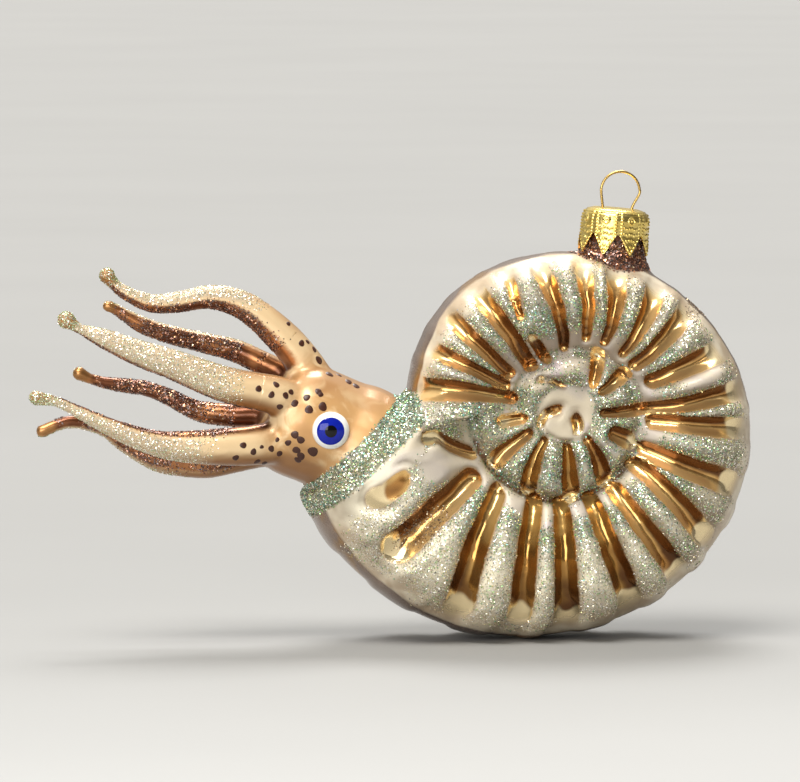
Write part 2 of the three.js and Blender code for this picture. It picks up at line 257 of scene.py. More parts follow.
# ---------------------------------------------------------------- form of the coil
def coil_polar(points):
    x, z = points[:, 0] / MM - COIL_X, points[:, 2] / MM - COIL_Z
    return np.hypot(x, z), np.degrees(np.arctan2(z, -x)) % 360


def collar_radius(angle):
    nx, nz = COLLAR_TOP[1] - COLLAR_BOTTOM[1], COLLAR_BOTTOM[0] - COLLAR_TOP[0]
    reach = (COLLAR_TOP[0] - COIL_X) * nx + (COLLAR_TOP[1] - COIL_Z) * nz
    return reach / (-np.cos(np.radians(angle)) * nx + np.sin(np.radians(angle)) * nz)


def outline_radius(angle):
    at_collar = (angle > COLLAR_SPAN[0]) | (angle < COLLAR_SPAN[1])
    return np.where(at_collar, collar_radius(np.where(at_collar, angle, 0)), along_table(OUTLINE, angle))


def seam_radius(angle):
    return mix(*SEAM, angle / COIL_TURN)


def smooth_depth(angle, s):
    """Half thickness without ribs: s is 0 on the axis, 1 at the seam and 2 at the rim."""
    half = mix(*HALF_DEPTH, angle / COIL_TURN)
    at_seam = 0.7 * half
    inner = mix(10.6, at_seam, s * s) + 1.5 * np.sin(np.pi * np.clip(s, 0, 1)) * s
    t = s - 1
    crown = 0.45
    rising = mix(half, at_seam, np.clip((crown - t) / crown, 0, 1) ** 2)
    falling = half * (1 - np.clip((t - crown) / (1 - crown), 0, 1) ** 2.5) ** 0.45
    return np.where(s <= 1, inner, np.where(t < crown, rising, falling))


FADE = 3.4          # how far a groove runs on, growing shallow, past the end of its lacquer
RIB_HALF = 3.2      # a rib that is wider than twice this has a flat crest
BOSS_R = 5.6        # radius of the smooth boss in the middle of the coil
FACE_SINK = 0.9     # how far the face lies below the plain coil before its ribs are raised


def groove_edges(r, angle):
    """Distance to the edges of the two nearest grooves, and the nearest one's half width and outer end."""
    gaps, halves, ends = [], [], []
    for outer_angle, outer_r, inner_angle, inner_r, outer_half, inner_half in GROOVES:
        share = np.clip((r - inner_r) / (outer_r - inner_r), 0, 1)
        centre, half = mix(inner_angle, outer_angle, share), mix(inner_half, outer_half, share)
        turn = np.radians((angle - centre + 180) % 360 - 180)
        across = np.where(np.abs(turn) < 1.2, r * np.sin(turn), 99.0)
        fade = FADE if outer_r > 20 else 0.8
        past = np.maximum(0, np.maximum(inner_r + inner_half - r, r - outer_r - fade + outer_half))
        gaps.append(np.hypot(across, past) - half)
        halves.append(half)
        ends.append(outer_r + 0 * r)
    gaps, halves, ends = np.array(gaps), np.array(halves), np.array(ends)
    order = np.argsort(gaps, axis=0)[:2]
    rows = np.arange(len(r))
    return gaps[order[0], rows], gaps[order[1], rows], halves[order[0], rows], ends[order[0], rows]


def ribs_and_grooves(r, angle):
    """Rib height (1 on a crest), groove depth (1 at the bottom), the groove's half width and outer end."""
    near, second, half, end = groove_edges(r, angle)
    near_out, second_out = np.maximum(near, 0), np.maximum(second, 1e-3)
    between = 2 * near_out * second_out / (near_out + second_out)
    rib = np.clip(between / np.clip((near_out + second_out) / 2, 0.3, RIB_HALF), 0, 1) ** 0.8
    valley = 1 - np.clip((near + half) / half, 0, 1) ** 2
    return rib, valley, half, end


def lobes(angle):
    """The rib ends as they reach the rim: 1 on a rib, 0 at a groove."""
    return ease(0.0, 1.0, ribs_and_grooves(0.8 * outline_radius(angle), angle)[0])


def lower_half(angle):
    """1 round the lower half of the outer whorl, where ribs are biggest, and 0 elsewhere."""
    return ease(185, 230, angle) * (1 - ease(338, 352, angle))


def relief(r, angle):
    """Height of the moulded face above the plain coil, rib height, groove depth and fading of the lacquer."""
    spots = np.column_stack([r * np.cos(np.radians(angle)), r * np.sin(np.radians(angle)), 0 * r])
    r_bent = r + 0.35 * noise_wave(spots, 6, 3)
    angle_bent = angle + 0.35 * noise_wave(spots, 7, 4) * 25 / (r + 8)
    rib, valley, half, end = ribs_and_grooves(r_bent, angle_bent)
    seam, share = seam_radius(angle), r / outline_radius(angle)
    lower = lower_half(angle)
    # A smooth pad near the collar is painted like a groove but isn't sunk.
    pad = np.exp(-(np.sin(np.radians(angle - 339.5)) * r / 4.2) ** 2 - ((r - 36.5) / 6) ** 2)
    deep = (0.6 + 0.6 * half) * (1 - pad) * (1 - 0.85 * ease(end - 3.5, end + FADE, r))
    deep *= 1 + 0.1 * (r < seam)
    high = mix(0.8, 2.5, ease(-1.0, 9.0, r - seam) * ease(10, 20, r)) * (1 - 0.85 * ease(0.87, 0.98, share))
    inner_high = mix(0.5, 2.2, ease(5.0, 8.5, r) * (1 - ease(-3.0, -0.5, r - seam)))
    high = np.where(r < seam - 0.5, inner_high, high)
    crevice = np.exp(-((r - seam + 0.3) / 0.9) ** 2) * mix(0.5, 1.5, lower)
    round_boss = np.exp(-((r - BOSS_R) / 0.6) ** 2) * mix(0.3, 1.0, lower)
    lift = high * np.maximum(rib, np.clip(1.8 * pad, 0, 1)) - FACE_SINK - deep * valley
    lift += 0.12 * noise_wave(spots, 5, 5) - crevice - round_boss
    fading = ease(end - 2.2, end + 0.6, r + 0.8 * noise_wave(spots, 3.5, 12))
    return lift, rib, valley, fading


def coil_blank():
    """The moulded coil: a round blank whose rings follow the outline, the whorl's section and the ribs."""
    deselect_all()
    bpy.ops.mesh.primitive_uv_sphere_add(segments=560, ring_count=300, radius=1)
    blank = bpy.context.object
    ball = points_of(blank)
    angle = np.degrees(np.arctan2(ball[:, 1], -ball[:, 0])) % 360
    s = 2 - 2 * np.abs(np.arcsin(np.clip(ball[:, 2], -1, 1))) / (math.pi / 2)
    s = np.where(s <= 1, s, 2 - np.clip(2 - s, 0, 1) ** 1.6)
    outline = outline_radius(angle)
    r = np.where(s <= 1, s * seam_radius(angle), mix(seam_radius(angle), outline, s - 1))
    lift = relief(r, angle)[0]
    y = np.sign(ball[:, 2]) * (smooth_depth(angle, s) + lift * (1 - ease(0.95, 1.0, r / outline)))
    strength = mix(0.25, 1.1, ease(170, 230, angle) * (1 - ease(325, 342, angle)))
    r = r + strength * (lobes(angle) - 0.6) * ease(0.8, 0.93, r / outline) * (1 - 0.55 * ease(1.93, 2.0, s))
    x = COIL_X - r * np.cos(np.radians(angle))
    z = COIL_Z + r * np.sin(np.radians(angle))
    move_points(blank, np.column_stack([x, y, z]) * MM)
    return blank


def rod(path):
    """A round tapering rod of glass along a line of points and radii."""
    curve = bpy.data.curves.new("rod", "CURVE")
    curve.dimensions = "3D"
    curve.bevel_depth = 1.0
    curve.bevel_resolution = 8
    curve.use_fill_caps = True
    spline = curve.splines.new("POLY")
    spline.points.add(len(path) - 1)
    for point, (x, y, z, radius) in zip(spline.points, path):
        point.co = (x * MM, y * MM, z * MM, 1)
        point.radius = radius * MM
    only(link("rod", curve))
    bpy.ops.object.convert(target="MESH")
    return bpy.context.object


def ball(x, y, z, radius):
    deselect_all()
    bpy.ops.mesh.primitive_uv_sphere_add(segments=24, ring_count=16, radius=radius * MM,
                                         location=(x * MM, y * MM, z * MM))
    return bpy.context.object


def stand_on_neck(piece):
    """Moves a piece made about the upright axis onto the neck's leaning one, its zero at the cap's top."""
    piece.rotation_euler = (0, CAP_TILT, 0)
    piece.location = (CAP_X * MM, 0, CAP_Z * MM)
    apply_place(piece)


def spun(profile, steps=48):
    """A solid of revolution on the neck's axis from (radius, height) corners, by spinning an edge loop."""
    deselect_all()
    points = [(r * MM, 0, h * MM) for r, h in profile]
    piece = mesh_piece("spun", points, [])
    only(piece)
    bm = bmesh.new()
    bm.from_mesh(piece.data)
    bm.verts.ensure_lookup_table()
    for k in range(len(points)):
        bm.edges.new((bm.verts[k], bm.verts[(k + 1) % len(points)]))
    bm.to_mesh(piece.data)
    bm.free()
    bpy.ops.object.mode_set(mode="EDIT")
    bpy.ops.mesh.select_all(action="SELECT")
    bpy.ops.mesh.spin(steps=steps, angle=2 * math.pi, center=(0, 0, 0), axis=(0, 0, 1))
    bpy.ops.mesh.select_all(action="SELECT")
    bpy.ops.mesh.remove_doubles(threshold=1e-6)
    bpy.ops.object.mode_set(mode="OBJECT")
    face_outwards(piece)
    stand_on_neck(piece)
    return piece


def neck_blank():
    top = -0.75
    return spun([(NECK_BORE, -11.5), (9.2, -13.4), (7.6, -11.6), (6.6, -9.6), (NECK_LIP, -7.6),
                 (NECK_LIP, top - 0.4), (NECK_LIP - 0.4, top), (NECK_BORE, top)])


def join(pieces):
    deselect_all()
    for piece in pieces:
        piece.select_set(True)
    bpy.context.view_layer.objects.active = pieces[0]
    bpy.ops.object.join()
    return bpy.context.object


VOXEL = 0.57        # keeps the melted glass just under 200,000 triangles


def weighted_modifier(glass, kind, weight, **settings):
    """Applies a modifier to part of a piece, by a weight for each point."""
    group = glass.vertex_groups.new(name="part")
    for index in np.nonzero(weight > 0.01)[0]:
        group.add([int(index)], float(weight[index]), "REPLACE")
    modifier = glass.modifiers.new("part", kind)
    modifier.vertex_group = "part"
    for name, value in settings.items():
        setattr(modifier, name, value)
    finish_modifiers(glass)
    glass.vertex_groups.clear()


def fused_glass():
    """Coil, head, neck and tentacles melted into one skin, with soft fillets where they meet."""
    coil = coil_blank()
    pieces = [neck_blank(), rod(centre_line(HEAD))]
    for path in TENTACLES.values():
        pieces.append(rod(centre_line(path)))
        x, y, z, radius = path[-1]
        pieces.append(ball(x, y, z, radius * 1.06))
    for piece in pieces:
        apply_place(piece)
    only(coil)
    bpy.ops.object.duplicate()
    glass = join([bpy.context.object, *pieces])
    remesh = glass.modifiers.new("melt", "REMESH")
    remesh.mode = "VOXEL"
    remesh.voxel_size = VOXEL * MM
    smooth = glass.modifiers.new("flame polish", "SMOOTH")
    smooth.factor = 0.5
    smooth.iterations = 4
    finish_modifiers(glass)
    soften_roots(glass)
    sharpen_ribs(glass, coil)
    only(coil)
    bpy.ops.object.delete()
    return glass


def soften_roots(glass):
    """Longer fillets where the tentacles leave the mouth and where the head leaves the coil."""
    mm = points_of(glass) / MM
    mouth = np.linalg.norm(mm - np.array(MOUTH), axis=1)
    weight = 1 - ease(9, 15, mouth)
    neck = np.hypot(mm[:, 0] - NECK_X, mm[:, 1])
    weight = np.maximum(weight, (1 - ease(7, 9.5, neck)) * (mm[:, 2] < -15.8) * (mm[:, 2] > -20))
    crease = np.abs(head_distance(mm * MM) + 0.5)
    weight = np.maximum(weight, 0.8 * (1 - ease(1.5, 4.5, crease)) * (mm[:, 0] < -38))
    weighted_modifier(glass, "SMOOTH", weight, factor=0.5, iterations=14)


def sharpen_ribs(glass, coil):
    """Lays the melted skin of the coil back on the moulded blank, away from the head and the neck."""
    points = points_of(glass)
    mm = points / MM
    neck = np.hypot(mm[:, 0] - NECK_X, mm[:, 1])
    weight = (1 - ease(-5.5, -3.0, head_distance(points))) * np.maximum(ease(8.5, 11, neck), mm[:, 2] < -30)
    weighted_modifier(glass, "SHRINKWRAP", weight, target=coil, wrap_method="NEAREST_SURFACEPOINT")


def head_distance(points):
    """Distance in front of the collar's line, along the head: negative on the coil, positive on the head."""
    x, z = points[:, 0] / MM, points[:, 2] / MM
    dx, dz = COLLAR_TOP[0] - COLLAR_BOTTOM[0], COLLAR_TOP[1] - COLLAR_BOTTOM[1]
    length = math.hypot(dx, dz)
    flat = (-(x - COLLAR_TOP[0]) * dz + (z - COLLAR_TOP[1]) * dx) / length
    behind = (x > COLLAR_TOP[0] + 2.6) | ((x > COLLAR_TOP[0] - 0.8) & (z > COLLAR_TOP[1] + 1.2))
    return np.where(behind, -20.0, flat)


def mark_coil(glass):
    """Marks, point by point, where each finish of the coil and the collar goes."""
    points = points_of(glass)
    r, angle = coil_polar(points)
    ahead = head_distance(points)
    on_coil = 1 - ease(-3.0, -0.5, ahead)
    on_face = ease(2.0, 5.5, np.abs(points[:, 1]) / MM)
    _, rib, valley, fading = relief(r, angle)
    share, lower = np.clip(r / outline_radius(angle), 0, 1.2), lower_half(angle)
    seam_line = np.exp(-((r - seam_radius(angle) + 0.2) / 1.0) ** 2)
    marks = {
        "rib": mix(1, rib, on_coil * on_face), "valley": valley * on_coil * on_face, "fading": fading,
        "share": share, "coil": on_coil, "ahead": ahead, "keel": share - along_table(KEEL_EDGE, angle),
        # tilt, how far each point faces up, and low, the bottom of the coil, steer the finish's painted shade
        # and painted light.
        "tilt": normals_of(glass)[:, 2], "low": ease(225, 255, angle) * (1 - ease(300, 318, angle)),
        "pale": lower * ease(215, 260, angle) * ease(0.5, 0.74, r / outline_radius(angle)),
        # Painted shade along the crease of the seam between the whorls, strongest round the lower half.
        "seam_shade": seam_line * mix(0.45, 1.0, lower) * on_coil,
    }
    for name, values in marks.items():
        give_attribute(glass, name, values)
    give_attribute(glass, "glued", glued_ribs(glass))


def glued_ribs(glass):
    """Where glue holds the glitter on the ribs: their crests, clear of seam, rim and smooth pads."""
    points = points_of(glass)
    mm = points / MM
    r, angle = coil_polar(points)
    rib, share, coil = (read_attribute(glass, name) for name in ("rib", "share", "coil"))
    patchy = noise_wave(mm, 9, 21)
    past_seam = r - seam_radius(angle)
    glued = ease(0.2, 0.5, rib + 0.12 * noise_wave(mm, 2.5, 8)) * coil
    glued *= 1 - ease(0.87, 0.96, share + 0.03 * patchy)
    outer_whorl = ease(2.0, 5.5, past_seam + 1.5 * patchy)
    inner_whorl = ease(5.0, 6.5, r + 0.6 * patchy) * (1 - ease(-1.0, 1.5, past_seam))
    bare_top = ease(5, 40, angle) * (1 - ease(120, 160, angle))
    inner_whorl *= 1 - 0.8 * bare_top * ease(-0.5, 0.2, noise_wave(mm, 6, 27))
    glued *= np.maximum(outer_whorl, inner_whorl) * mix(0.6, 1.0, ease(-0.6, 0.3, patchy))
    glued *= mix(0.5, 1.0, ease(0.1, 0.4, np.abs(normals_of(glass)[:, 1])))
    pad = np.hypot(r * np.sin(np.radians(angle - 341)), 0.8 * (r - 26.5))
    return glued * ease(3.2, 4.6, pad) * (1 - ease(-9.5, -7.5, head_distance(points)))


# ---------------------------------------------------------------- tentacles cut at their forks
def tentacle_shares(points):
    """For each point the nearest tentacle, its share of the way along it and the outward side of it."""
    best = np.full(len(points), 1e9)
    owner = np.full(len(points), -1)
    share = np.zeros(len(points))
    away = np.zeros((len(points), 3))
    rows = np.nonzero(points[:, 0] < -56 * MM)[0]
    mm = points[rows] / MM
    for number, path in enumerate(TENTACLES.values()):
        for k, (x, y, z, radius) in enumerate(centre_line(path, PER_SPAN)):
            reach = np.linalg.norm(mm - (x, y, z), axis=1) / radius
            closer = reach < best[rows]
            hit = rows[closer]
            best[hit] = reach[closer]
            owner[hit] = number
            share[hit] = k / PER_SPAN
            core = np.array([x, 0, MOUTH[2] - (x - MOUTH[0]) * 0.2])
            out = np.array([x, y, z]) - core
            away[hit] = out / (np.linalg.norm(out) + 1e-9)
    return owner, share, away


def separate_tentacles(glass):
    """Cuts each tentacle off the melted glass at its fork, square to its line, and closes both cuts."""
    pieces = {}
    for number, (name, path) in enumerate(TENTACLES.items()):
        line, cut = centre_line(path, PER_SPAN)[:, :3], FORK * PER_SPAN
        at = Vector(line[cut]) * MM
        ahead = Vector(line[cut + 1] - line[cut - 1]).normalized()
        only(glass)
        bpy.ops.object.mode_set(mode="EDIT")
        bpy.context.tool_settings.mesh_select_mode = (False, False, True)
        mark_faces(glass, number, FORK - 0.6)
        bpy.ops.mesh.bisect(plane_co=at, plane_no=ahead)
        mark_faces(glass, number, FORK - 0.6, at, ahead)
        bpy.ops.mesh.separate(type="SELECTED")
        bpy.ops.object.mode_set(mode="OBJECT")
        pieces[name] = [piece for piece in bpy.context.selected_objects if piece != glass][0]
        close_cut(pieces[name])
        close_cut(glass)
    return pieces


def mark_faces(glass, number, from_share, at=None, ahead=None):
    """Selects the faces of one tentacle beyond a share of its line, and beyond a plane if one is given."""
    bm = bmesh.from_edit_mesh(glass.data)
    centres = np.array([face.calc_center_median() for face in bm.faces])
    owner, share, _ = tentacle_shares(centres)
    chosen = (owner == number) & (share > from_share)
    if at is not None:
        chosen &= (centres - np.array(at)) @ np.array(ahead) > 0
    for face, pick in zip(bm.faces, chosen):
        face.select = bool(pick)
    bm.select_flush_mode()
    bmesh.update_edit_mesh(glass.data)


def close_cut(piece):
    only(piece)
    bpy.ops.object.mode_set(mode="EDIT")
    bpy.context.tool_settings.mesh_select_mode = (False, True, False)
    bpy.ops.mesh.select_all(action="DESELECT")
    bpy.ops.mesh.select_non_manifold(extend=False, use_wire=False, use_boundary=True, use_multi_face=False,
                                     use_non_contiguous=False, use_verts=False)
    bpy.ops.mesh.fill(use_beauty=True)
    bpy.ops.object.mode_set(mode="OBJECT")


# ---------------------------------------------------------------- eyes, freckles, cap and wire
EYE_X, EYE_Z, EYE_R = -57.7, -48.1, 3.55
FRECKLE_SIZE = 1.32
FRECKLES = [(-71.5, -40.0, 0.48), (-68.0, -39.3, 0.48), (-69.0, -41.2, 0.48), (-66.2, -41.4, 0.48),
            (-65.1, -40.8, 0.43), (-64.4, -43.0, 0.58), (-67.3, -43.6, 0.48), (-62.1, -41.9, 0.53),
            (-59.8, -40.8, 0.5), (-59.4, -41.3, 0.45), (-59.1, -43.6, 0.67), (-61.8, -44.1, 0.62),
            (-57.0, -37.9, 0.58), (-55.0, -38.2, 0.48), (-53.3, -39.4, 0.58), (-51.9, -40.2, 0.58),
            (-64.6, -28.3, 0.38), (-62.2, -32.0, 0.48), (-60.9, -31.8, 0.38), (-59.6, -33.3, 0.48),
            (-58.8, -35.3, 0.62), (-64.5, -48.9, 0.58), (-63.4, -49.9, 0.58), (-65.7, -50.5, 0.48),
            (-67.7, -49.9, 0.34), (-64.1, -51.9, 0.58), (-63.2, -53.1, 0.62), (-61.0, -52.2, 0.77),
            (-67.2, -52.6, 0.48), (-68.9, -51.6, 0.48), (-70.8, -51.2, 0.3), (-72.4, -52.1, 0.48),
            (-74.4, -50.8, 0.48), (-75.8, -53.2, 0.48), (-71.5, -54.1, 0.48), (-71.3, -55.1, 0.45),
            (-63.7, -53.9, 0.53), (-70.0, -54.5, 0.48)]


def glass_tree(pieces):
    """One search tree over several glass pieces, to lay paint and glitter on them."""
    points, faces, start = [], [], 0
    for piece in pieces:
        points.append(points_of(piece))
        faces.append(triangles_of(piece) + start)
        start += len(points[-1])
    return BVHTree.FromPolygons(np.vstack(points).tolist(), np.vstack(faces).tolist())


def freckle_dots(name, tree, side):
    """Small raised dots of brown enamel laid on one side of the head and the tentacle roots."""
    rng = np.random.default_rng(11 if side < 0 else 12)
    points, faces = [], []
    corners = 12
    for x, z, radius in FRECKLES:
        radius *= FRECKLE_SIZE
        if side > 0:
            x, z = x + rng.uniform(-0.7, 0.7), z + rng.uniform(-0.7, 0.7)
        hit, normal, _, _ = tree.ray_cast(Vector((x, side * 60, z)) * MM, Vector((0, -side, 0)))
        if hit is None:
            continue
        turn = normal.to_track_quat("Z", "Y").to_matrix() @ Matrix.Rotation(rng.uniform(0, 6.3), 3, "Z")
        stretch = rng.uniform(0.88, 1.15)
        start = len(points)
        for ring, height in ((1.0, -0.12), (1.0, 0.02), (0.75, 0.09), (0.4, 0.13)):
            for k in range(corners):
                angle = 2 * math.pi * k / corners
                wobble = 1 + 0.07 * math.sin(3 * angle + radius * 40)
                offset = Vector((ring * radius * wobble * stretch * math.cos(angle),
                                 ring * radius * wobble / stretch * math.sin(angle), height))
                points.append(hit + turn @ offset * MM)
        for row in range(3):
            for k in range(corners):
                a, b = start + row * corners + k, start + row * corners + (k + 1) % corners
                faces.append((a, b, b + corners, a + corners))
        faces.append([start + 3 * corners + k for k in range(corners)])
        faces.append([start + k for k in reversed(range(corners))])
    return mesh_piece(name, points, faces)


def eye_dome(side):
    """A domed glass eye: a lathe-turned lens with a flat back, sunk a little into the head."""
    deselect_all()
    bpy.ops.mesh.primitive_circle_add(vertices=96, radius=EYE_R * MM, fill_type="NGON",
                                      location=(0, 0, 9.6 * MM))
    piece = bpy.context.object
    bpy.ops.object.mode_set(mode="EDIT")
    bpy.ops.mesh.select_all(action="SELECT")
    bpy.ops.mesh.extrude_region_move(TRANSFORM_OT_translate={"value": (0, 0, 2.0 * MM)})
    rise, steps = 2.0, 14
    for k in range(steps):
        low, high = (math.pi / 2) * k / steps, (math.pi / 2) * min(k + 1, steps - 0.35) / steps
        bpy.ops.mesh.extrude_region_move(
            TRANSFORM_OT_translate={"value": (0, 0, rise * (math.sin(high) - math.sin(low)) * MM)})
        share = math.cos(high) / math.cos(low)
        bpy.ops.transform.resize(value=(share, share, 1), center_override=(0, 0, 0))
    bpy.ops.mesh.poke()
    face_outwards(piece)
    apply_place(piece)
    piece.rotation_euler = (math.radians(90 if side < 0 else -90), 0, 0)
    piece.location = (EYE_X * MM, 0, EYE_Z * MM)
    return piece


CAP_TOP_R, CAP_SHOULDER_R, CAP_FLARE_R, CAP_SKIRT, CAP_LENGTH, TEETH = 4.4, 6.45, 6.85, 4.9, 8.7, 8
FIRST_TOOTH = 20


def cap_profile(height):
    """Radius of the cap's outside at a height above its top."""
    stops = [(-CAP_LENGTH, CAP_FLARE_R), (-CAP_SKIRT, CAP_SHOULDER_R), (-2.2, CAP_SHOULDER_R),
             (-1.2, CAP_SHOULDER_R - 0.2), (-0.35, CAP_TOP_R + 1.2), (0, CAP_TOP_R)]
    return np.interp(height, [s[0] for s in stops], [s[1] for s in stops])


def bead(u, v, r):
    """A round bead of radius r, 1 high in its middle, at offsets u and v from it."""
    return np.clip(1 - (u * u + v * v) / (r * r), 0, 1)


def stamped_relief(turn, height):
    """Raised beads, rings and dashes of the stamping: turn runs -0.5 to 0.5 across one tooth's panel."""
    x = turn * 2 * math.pi * 6.5 / TEETH
    tooth = np.clip((height + CAP_LENGTH) / (CAP_LENGTH - CAP_SKIRT), 0, 1)
    edge = np.where(height > -CAP_SKIRT, 2.25, 2.5 * tooth)
    row = ((height / 0.62) % 1 - 0.5) * 0.62
    relief = 0.26 * bead(np.abs(x) - edge + 0.28, row, 0.27) * (height < -0.7)
    ring = np.abs(np.hypot(x, height + 2.1) - 0.62)
    relief += 0.2 * np.clip(1 - ring / 0.2, 0, 1)
    relief += 0.22 * bead(x, height + 2.1, 0.22)
    for centre in (-3.6, -4.7, -5.8):
        wave = height - centre - 0.12 * np.cos(x * 4)
        reach = 1.5 if centre > -5 else 1.1
        dash = ((x / 0.55) % 1 - 0.5) * 0.55
        relief += 0.2 * bead(dash, wave, 0.25) * (np.abs(x) < reach)
    relief += 0.16 * np.clip(1 - np.abs(height + 0.75) / 0.22, 0, 1)
    relief += 0.2 * bead(x, height + 7.0, 0.3)
    return relief


def crown_cap():
    """The stamped crown cap: one thin sheet with a flat top, embossed skirt and pointed teeth."""
    around, down = 400, 64
    angle = np.arange(around) * 2 * math.pi / around
    turn = ((np.degrees(angle) - FIRST_TOOTH) / (360 / TEETH) + 0.5) % 1 - 0.5
    tip = mix(CAP_LENGTH, CAP_SKIRT, np.clip((np.abs(turn) * 2 - 0.06) / 0.86, 0, 1))
    rings = [(radius, 0 * angle) for radius in (0.02, 1.2, 2.4, 3.4, 4.1)]
    for k in range(down + 1):
        height = -tip * k / down
        rings.append((cap_profile(height) + stamped_relief(turn, height), height))
    rows = [np.column_stack([radius * np.cos(angle), radius * np.sin(angle), height])
            for radius, height in rings]
    points = np.vstack(rows)
    faces = [(start + k, start + around + k, start + around + (k + 1) % around, start + (k + 1) % around)
             for start in range(0, (len(rows) - 1) * around, around) for k in range(around)]
    faces.append(list(range(around)))
    piece = mesh_piece("cap", points * MM, faces)
    stand_on_neck(piece)
    face_outwards(piece)
    sheet = piece.modifiers.new("sheet", "SOLIDIFY")
    sheet.thickness = 0.3 * MM
    sheet.offset = -1
    finish_modifiers(piece)
    return piece


WIRE_R, LOOP_R, WIRE_LEFT, WIRE_RIGHT = 0.26, 3.74, -3.4, 2.2


def loop_wire():
    """The bent hanging wire: a round loop above the cap and two legs sprung inside the neck."""
    centre = WIRE_R - LOOP_R
    arc = [(LOOP_R * math.cos(a), 0, centre + LOOP_R * math.sin(a), WIRE_R)
           for a in np.radians(np.linspace(190, -10, 13))]
    left = [(WIRE_LEFT + step, 0, z, WIRE_R) for step, z in ((1.0, -15), (0.35, -11), (0, CAP_Z))]
    right = [(WIRE_RIGHT - step, 0, z, WIRE_R) for step, z in ((0, CAP_Z - 0.25), (0.35, -11), (1.0, -15))]
    return rod(centre_line(left + arc + right, 12))


# ---------------------------------------------------------------- glitter
SILVER = [((252, 250, 236), 5), ((218, 220, 186), 3), ((240, 228, 150), 2.8), ((158, 214, 118), 3.2),
          ((76, 168, 112), 1.8), ((150, 138, 116), 2.4), ((90, 84, 66), 2.0), ((204, 180, 188), 1)]
TEAL = [((204, 226, 214), 3), ((100, 186, 172), 3), ((54, 136, 116), 2), ((140, 202, 104), 2.0),
        ((240, 242, 234), 3), ((224, 212, 140), 1), ((96, 100, 86), 1.6), ((184, 166, 176), 0.8)]
CREAM = [((246, 238, 214), 5), ((236, 222, 188), 3), ((252, 248, 238), 4), ((214, 222, 178), 1),
         ((190, 164, 126), 0.8)]
COLLAR = [((176, 204, 184), 3), ((84, 162, 144), 3), ((44, 106, 90), 2.6), ((132, 186, 98), 2),
          ((236, 240, 224), 1.8), ((196, 180, 112), 1.2), ((82, 80, 64), 2.4)]
LIME = [((222, 232, 180), 4), ((176, 206, 140), 2.4), ((250, 250, 236), 3), ((120, 160, 104), 1.4)]
BRONZE = [((150, 122, 86), 4), ((190, 164, 120), 2), ((96, 74, 50), 3), ((230, 214, 170), 1)]
BROWN = [((112, 60, 34), 4), ((160, 94, 54), 3), ((56, 28, 16), 4), ((224, 156, 98), 2.2),
         ((250, 214, 166), 0.5)]
GRAIN_LEAN = 0.33   # how far a grain tips away from the surface it is glued to


def linear(colour):
    share = np.array(colour, dtype=float) / 255
    return np.where(share <= 0.04045, share / 12.92, ((share + 0.055) / 1.055) ** 2.4)


def glitter(name, piece, density, palettes, size, seed):
    """Loose glitter glued on a piece: tiny closed wedges, as many to a square millimetre as density says.

    palettes is a list of (palette, weight at each point); a grain takes its colour from one of them.
    """
    rng = np.random.default_rng(seed)
    co, normal = points_of(piece) / MM, normals_of(piece)
    tris = triangles_of(piece)
    a, b, c = co[tris[:, 0]], co[tris[:, 1]], co[tris[:, 2]]
    area = np.linalg.norm(np.cross(b - a, c - a), axis=1) / 2
    weight = area * density[tris].mean(axis=1)
    count = int(weight.sum())
    pick = rng.choice(len(tris), size=count, p=weight / weight.sum())
    u, v = rng.random(count), rng.random(count)
    flip = u + v > 1
    u[flip], v[flip] = 1 - u[flip], 1 - v[flip]
    w = (1 - u - v)[:, None]
    u, v = u[:, None], v[:, None]
    spot = a[pick] * w + b[pick] * u + c[pick] * v
    up = normal[tris[pick, 0]] * w + normal[tris[pick, 1]] * u + normal[tris[pick, 2]] * v
    up += rng.normal(scale=GRAIN_LEAN, size=(count, 3))
    up /= np.linalg.norm(up, axis=1)[:, None]
    side = np.cross(up, rng.normal(size=(count, 3)))
    side /= np.linalg.norm(side, axis=1)[:, None]
    across = np.cross(up, side)
    radius = (rng.uniform(size[0], size[1], count) / 2)[:, None]
    lift = rng.uniform(0.02, 0.14, count)[:, None]
    corners = [spot + up * lift + radius * (side * math.cos(t) + across * math.sin(t))
               for t in (0, 2 * math.pi / 3, 4 * math.pi / 3)]
    corners.append(spot + up * (lift - radius * 0.9))
    points = np.stack(corners, axis=1).reshape(-1, 3) * MM
    base = np.arange(count)[:, None] * 4
    faces = np.concatenate([base + (0, 1, 2), base + (0, 3, 1), base + (1, 3, 2), base + (2, 3, 0)], axis=1)
    faces = faces.reshape(-1, 3)
    mesh = bpy.data.meshes.new(name)
    mesh.vertices.add(len(points))
    mesh.vertices.foreach_set("co", points.astype(np.float32).ravel())
    mesh.loops.add(faces.size)
    mesh.loops.foreach_set("vertex_index", faces.astype(np.int32).ravel())
    mesh.polygons.add(len(faces))
    mesh.polygons.foreach_set("loop_start", np.arange(0, faces.size, 3, dtype=np.int32))
    mesh.update(calc_edges=True)
    tint = np.zeros((count, 3))
    shares = np.stack([weights[tris[pick, 0]] for _, weights in palettes], axis=1) + 1e-6
    shares /= shares.sum(axis=1)[:, None]
    which = (rng.random(count)[:, None] > np.cumsum(shares, axis=1)).sum(axis=1).clip(0, len(palettes) - 1)
    for number, (palette, _) in enumerate(palettes):
        colours = np.array([linear(colour) for colour, _ in palette])
        odds = np.array([chance for _, chance in palette], dtype=float)
        mine = which == number
        tint[mine] = colours[rng.choice(len(colours), size=int(mine.sum()), p=odds / odds.sum())]
    layer = mesh.attributes.new("tint", "FLOAT_COLOR", "POINT")
    rgba = np.ones((count, 4, 4), dtype=np.float32)
    rgba[:, :, :3] = tint[:, None, :]
    layer.data.foreach_set("color", rgba.ravel())
    return link(name, mesh)


